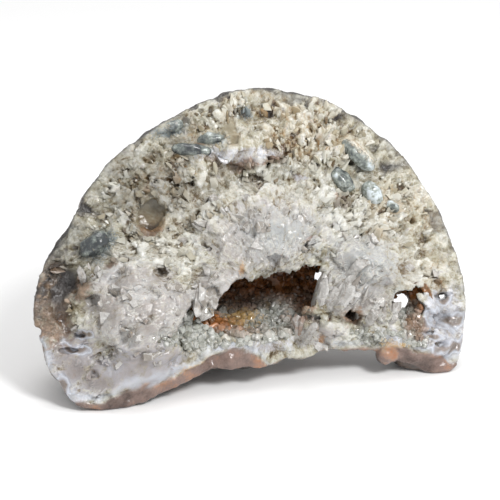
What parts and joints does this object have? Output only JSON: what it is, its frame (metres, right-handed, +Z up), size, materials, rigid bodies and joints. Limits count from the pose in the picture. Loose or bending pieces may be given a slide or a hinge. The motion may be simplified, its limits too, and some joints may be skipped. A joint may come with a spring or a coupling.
{
  "type": "geode half",
  "caption": "Broken half of a quartz geode, with a low hollow lined with small crystals, standing on the lumps of its agate skin.",
  "frame": {"origin": "middle of the box around the stone, on the surface that it stands on", "axes": "+X to the right along the stone's length, +Y away from the broken face, which looks towards -Y and leans back, +Z up"},
  "size_m": [0.1059, 0.0632, 0.0657],
  "materials": {
    "quartz_and_agate": "rough broken quartz with glassy patches, and smooth brown agate skin",
    "clear_crystal": "glossy"
  },
  "bodies": {
    "root": {"geode_stone": "quartz_and_agate", "crystal_crust": "clear_crystal"}
  },
  "joints": []
}
